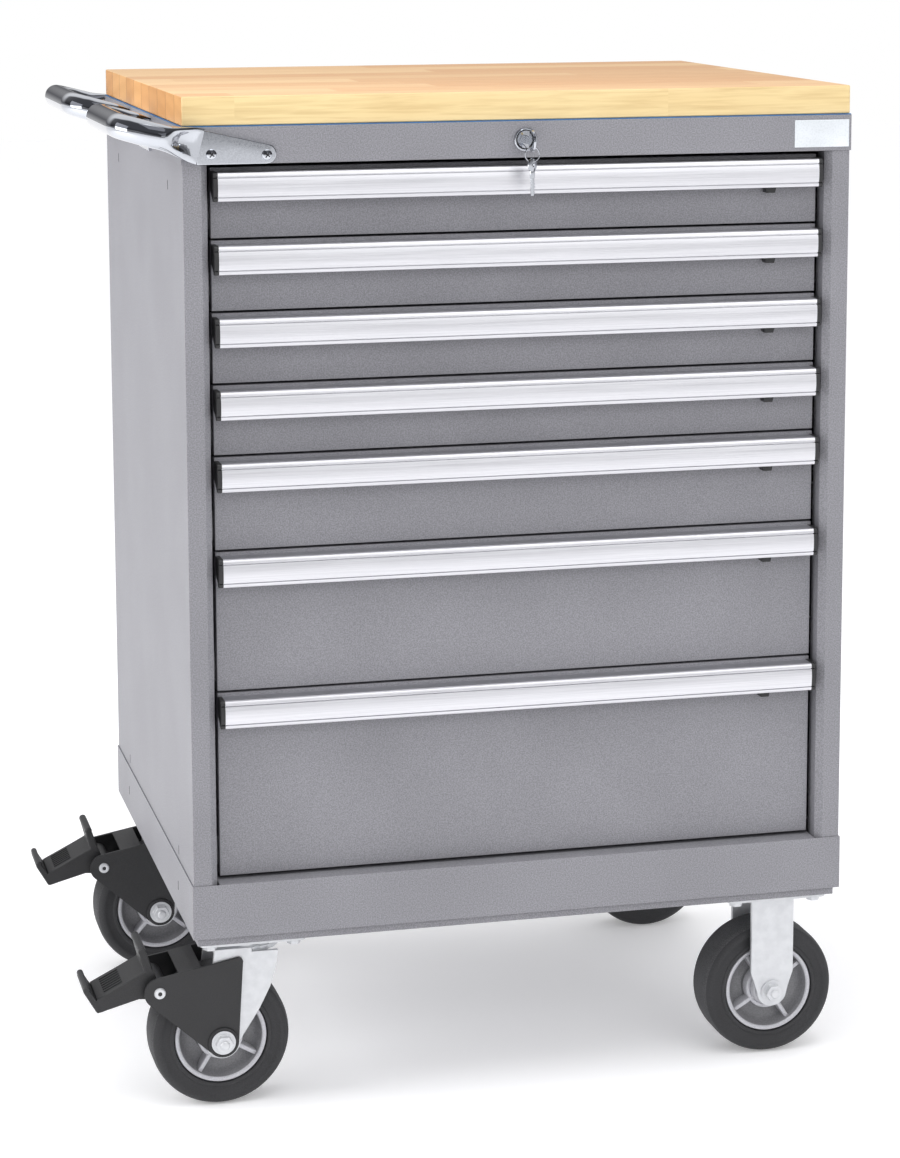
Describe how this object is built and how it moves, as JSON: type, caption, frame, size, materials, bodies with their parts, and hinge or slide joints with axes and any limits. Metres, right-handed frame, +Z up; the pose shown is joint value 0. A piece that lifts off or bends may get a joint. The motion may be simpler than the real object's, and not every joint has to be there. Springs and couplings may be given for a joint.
{
  "type": "rolling tool chest",
  "caption": "Rolling steel tool chest with full-width drawers under a butcher-block top, chrome push handles, a front lock, swivel casters with brakes and rigid casters.",
  "frame": {"origin": "bottom centre of the whole object's box, on the floor under the wheels", "axes": "+Z up, front with the drawers towards -Y, swivel casters and push handles on the -X side"},
  "size_m": [0.8411, 0.6398, 1.082],
  "materials": {
    "housing_paint": "fine-textured grey powder coat",
    "worktop_wood": "oiled maple butcher block",
    "handle_aluminium": "satin anodised",
    "black_plastic": "fine moulded grain",
    "runner_steel": "zinc plated",
    "chrome": "polished",
    "zinc_plate": "bright zinc",
    "rim_grey": "cast, satin",
    "tyre_rubber": "dark grey rubber",
    "blue_seal": "satin",
    "badge_plate": "satin, blank"
  },
  "bodies": {
    "cabinet": {"left_side_panel": "housing_paint", "right_side_panel": "housing_paint", "back_panel": "housing_paint", "top_pan": "housing_paint", "worktop": "worktop_wood", "base_skirt": "housing_paint", "base_pan": "housing_paint", "housing_runners": "runner_steel", "lock_housing": "chrome", "front_push_handle": "chrome", "rear_push_handle": "chrome", "handle_screws": "zinc_plate", "rigid_caster_forks": "zinc_plate", "swivel_caster_plates": "zinc_plate", "caster_bolts": "zinc_plate"},
    "drawer_1": {"drawer_1": "housing_paint", "drawer_1_handle": "handle_aluminium"},
    "drawer_1_carriage": {"drawer_1_carriages": "runner_steel"},
    "drawer_1_latch": {"drawer_1_latch": "black_plastic"},
    "drawer_2": {"drawer_2": "housing_paint", "drawer_2_handle": "handle_aluminium"},
    "drawer_2_carriage": {"drawer_2_carriages": "runner_steel"},
    "drawer_2_latch": {"drawer_2_latch": "black_plastic"},
    "drawer_3": {"drawer_3": "housing_paint", "drawer_3_handle": "handle_aluminium"},
    "drawer_3_carriage": {"drawer_3_carriages": "runner_steel"},
    "drawer_3_latch": {"drawer_3_latch": "black_plastic"},
    "drawer_4": {"drawer_4": "housing_paint", "drawer_4_handle": "handle_aluminium"},
    "drawer_4_carriage": {"drawer_4_carriages": "runner_steel"},
    "drawer_4_latch": {"drawer_4_latch": "black_plastic"},
    "drawer_5": {"drawer_5": "housing_paint", "drawer_5_handle": "handle_aluminium"},
    "drawer_5_carriage": {"drawer_5_carriages": "runner_steel"},
    "drawer_5_latch": {"drawer_5_latch": "black_plastic"},
    "drawer_6": {"drawer_6": "housing_paint", "drawer_6_handle": "handle_aluminium"},
    "drawer_6_carriage": {"drawer_6_carriages": "runner_steel"},
    "drawer_6_latch": {"drawer_6_latch": "black_plastic"},
    "drawer_7": {"drawer_7": "housing_paint", "drawer_7_handle": "handle_aluminium"},
    "drawer_7_carriage": {"drawer_7_carriages": "runner_steel"},
    "drawer_7_latch": {"drawer_7_latch": "black_plastic"},
    "lock_cylinder": {"lock_cylinder_and_key": "chrome"},
    "key_ring": {"key_ring": "chrome"},
    "lock_bar": {"lock_bar": "runner_steel"},
    "front_left_swivel": {"front_left_fork": "zinc_plate", "front_left_brake_cover": "black_plastic"},
    "front_left_pedal": {"front_left_brake_pedal": "black_plastic"},
    "front_left_wheel": {"front_left_rim": "rim_grey", "front_left_tyre": "tyre_rubber"},
    "rear_left_swivel": {"rear_left_fork": "zinc_plate", "rear_left_brake_cover": "black_plastic"},
    "rear_left_pedal": {"rear_left_brake_pedal": "black_plastic"},
    "rear_left_wheel": {"rear_left_rim": "rim_grey", "rear_left_tyre": "tyre_rubber"},
    "front_right_wheel": {"front_right_rim": "rim_grey", "front_right_tyre": "tyre_rubber"},
    "rear_right_wheel": {"rear_right_rim": "rim_grey", "rear_right_tyre": "tyre_rubber"}
  },
  "joints": [
    {"name": "drawer_1_slide", "type": "slide", "parent": "cabinet", "child": "drawer_1", "axis": [0, -1, 0], "range_m": [0, 0.489]},
    {"name": "drawer_1_carriage_slide", "type": "slide", "parent": "cabinet", "child": "drawer_1_carriage", "axis": [0, -1, 0], "range_m": [0, 0.2445]},
    {"name": "drawer_1_latch_slide", "type": "slide", "parent": "drawer_1", "child": "drawer_1_latch", "axis": [-1, 0, 0], "range_m": [0, 0.006], "stiffness_N_per_m": 120},
    {"name": "drawer_2_slide", "type": "slide", "parent": "cabinet", "child": "drawer_2", "axis": [0, -1, 0], "range_m": [0, 0.489]},
    {"name": "drawer_2_carriage_slide", "type": "slide", "parent": "cabinet", "child": "drawer_2_carriage", "axis": [0, -1, 0], "range_m": [0, 0.2445]},
    {"name": "drawer_2_latch_slide", "type": "slide", "parent": "drawer_2", "child": "drawer_2_latch", "axis": [-1, 0, 0], "range_m": [0, 0.006], "stiffness_N_per_m": 120},
    {"name": "drawer_3_slide", "type": "slide", "parent": "cabinet", "child": "drawer_3", "axis": [0, -1, 0], "range_m": [0, 0.489]},
    {"name": "drawer_3_carriage_slide", "type": "slide", "parent": "cabinet", "child": "drawer_3_carriage", "axis": [0, -1, 0], "range_m": [0, 0.2445]},
    {"name": "drawer_3_latch_slide", "type": "slide", "parent": "drawer_3", "child": "drawer_3_latch", "axis": [-1, 0, 0], "range_m": [0, 0.006], "stiffness_N_per_m": 120},
    {"name": "drawer_4_slide", "type": "slide", "parent": "cabinet", "child": "drawer_4", "axis": [0, -1, 0], "range_m": [0, 0.489]},
    {"name": "drawer_4_carriage_slide", "type": "slide", "parent": "cabinet", "child": "drawer_4_carriage", "axis": [0, -1, 0], "range_m": [0, 0.2445]},
    {"name": "drawer_4_latch_slide", "type": "slide", "parent": "drawer_4", "child": "drawer_4_latch", "axis": [-1, 0, 0], "range_m": [0, 0.006], "stiffness_N_per_m": 120},
    {"name": "drawer_5_slide", "type": "slide", "parent": "cabinet", "child": "drawer_5", "axis": [0, -1, 0], "range_m": [0, 0.489]},
    {"name": "drawer_5_carriage_slide", "type": "slide", "parent": "cabinet", "child": "drawer_5_carriage", "axis": [0, -1, 0], "range_m": [0, 0.2445]},
    {"name": "drawer_5_latch_slide", "type": "slide", "parent": "drawer_5", "child": "drawer_5_latch", "axis": [-1, 0, 0], "range_m": [0, 0.006], "stiffness_N_per_m": 120},
    {"name": "drawer_6_slide", "type": "slide", "parent": "cabinet", "child": "drawer_6", "axis": [0, -1, 0], "range_m": [0, 0.489]},
    {"name": "drawer_6_carriage_slide", "type": "slide", "parent": "cabinet", "child": "drawer_6_carriage", "axis": [0, -1, 0], "range_m": [0, 0.2445]},
    {"name": "drawer_6_latch_slide", "type": "slide", "parent": "drawer_6", "child": "drawer_6_latch", "axis": [-1, 0, 0], "range_m": [0, 0.006], "stiffness_N_per_m": 120},
    {"name": "drawer_7_slide", "type": "slide", "parent": "cabinet", "child": "drawer_7", "axis": [0, -1, 0], "range_m": [0, 0.489]},
    {"name": "drawer_7_carriage_slide", "type": "slide", "parent": "cabinet", "child": "drawer_7_carriage", "axis": [0, -1, 0], "range_m": [0, 0.2445]},
    {"name": "drawer_7_latch_slide", "type": "slide", "parent": "drawer_7", "child": "drawer_7_latch", "axis": [-1, 0, 0], "range_m": [0, 0.006], "stiffness_N_per_m": 120},
    {"name": "lock_turn", "type": "hinge", "parent": "cabinet", "child": "lock_cylinder", "pos_m": [0.052, -0.2844, 1.032], "axis": [0, 1, 0], "range_deg": [0, 90]},
    {"name": "lock_bar_slide", "type": "slide", "parent": "cabinet", "child": "lock_bar", "axis": [1, 0, 0], "range_m": [0, 0.012]},
    {"name": "key_ring_swing", "type": "hinge", "parent": "lock_cylinder", "child": "key_ring", "pos_m": [0.052, -0.3094, 1.02585], "axis": [1, 0, 0], "range_deg": [-40, 15]},
    {"name": "front_left_swivel_turn", "type": "hinge", "parent": "cabinet", "child": "front_left_swivel", "pos_m": [-0.2415, -0.217, 0.181], "axis": [0, 0, 1], "continuous": true},
    {"name": "front_left_wheel_spin", "type": "hinge", "parent": "front_left_swivel", "child": "front_left_wheel", "pos_m": [-0.2735, -0.217, 0.075], "axis": [0, 1, 0], "continuous": true},
    {"name": "front_left_pedal_press", "type": "hinge", "parent": "front_left_swivel", "child": "front_left_pedal", "pos_m": [-0.34059, -0.217, 0.13499], "axis": [0, -1, 0], "range_deg": [0, 14]},
    {"name": "rear_left_swivel_turn", "type": "hinge", "parent": "cabinet", "child": "rear_left_swivel", "pos_m": [-0.2415, 0.229, 0.181], "axis": [0, 0, 1], "continuous": true},
    {"name": "rear_left_wheel_spin", "type": "hinge", "parent": "rear_left_swivel", "child": "rear_left_wheel", "pos_m": [-0.2735, 0.229, 0.075], "axis": [0, 1, 0], "continuous": true},
    {"name": "rear_left_pedal_press", "type": "hinge", "parent": "rear_left_swivel", "child": "rear_left_pedal", "pos_m": [-0.34059, 0.229, 0.13499], "axis": [0, -1, 0], "range_deg": [0, 14]},
    {"name": "front_right_wheel_spin", "type": "hinge", "parent": "cabinet", "child": "front_right_wheel", "pos_m": [0.3455, -0.217, 0.075], "axis": [0, 1, 0], "continuous": true},
    {"name": "rear_right_wheel_spin", "type": "hinge", "parent": "cabinet", "child": "rear_right_wheel", "pos_m": [0.3455, 0.229, 0.075], "axis": [0, 1, 0], "continuous": true}
  ],
  "couplings": [
    {"joint": "drawer_1_carriage_slide", "follows": "drawer_1_slide", "ratio": 0.5},
    {"joint": "drawer_2_carriage_slide", "follows": "drawer_2_slide", "ratio": 0.5},
    {"joint": "drawer_3_carriage_slide", "follows": "drawer_3_slide", "ratio": 0.5},
    {"joint": "drawer_4_carriage_slide", "follows": "drawer_4_slide", "ratio": 0.5},
    {"joint": "drawer_5_carriage_slide", "follows": "drawer_5_slide", "ratio": 0.5},
    {"joint": "drawer_6_carriage_slide", "follows": "drawer_6_slide", "ratio": 0.5},
    {"joint": "drawer_7_carriage_slide", "follows": "drawer_7_slide", "ratio": 0.5},
    {"joint": "lock_turn", "follows": "lock_bar_slide", "rad_per_m": 130.91}
  ]
}
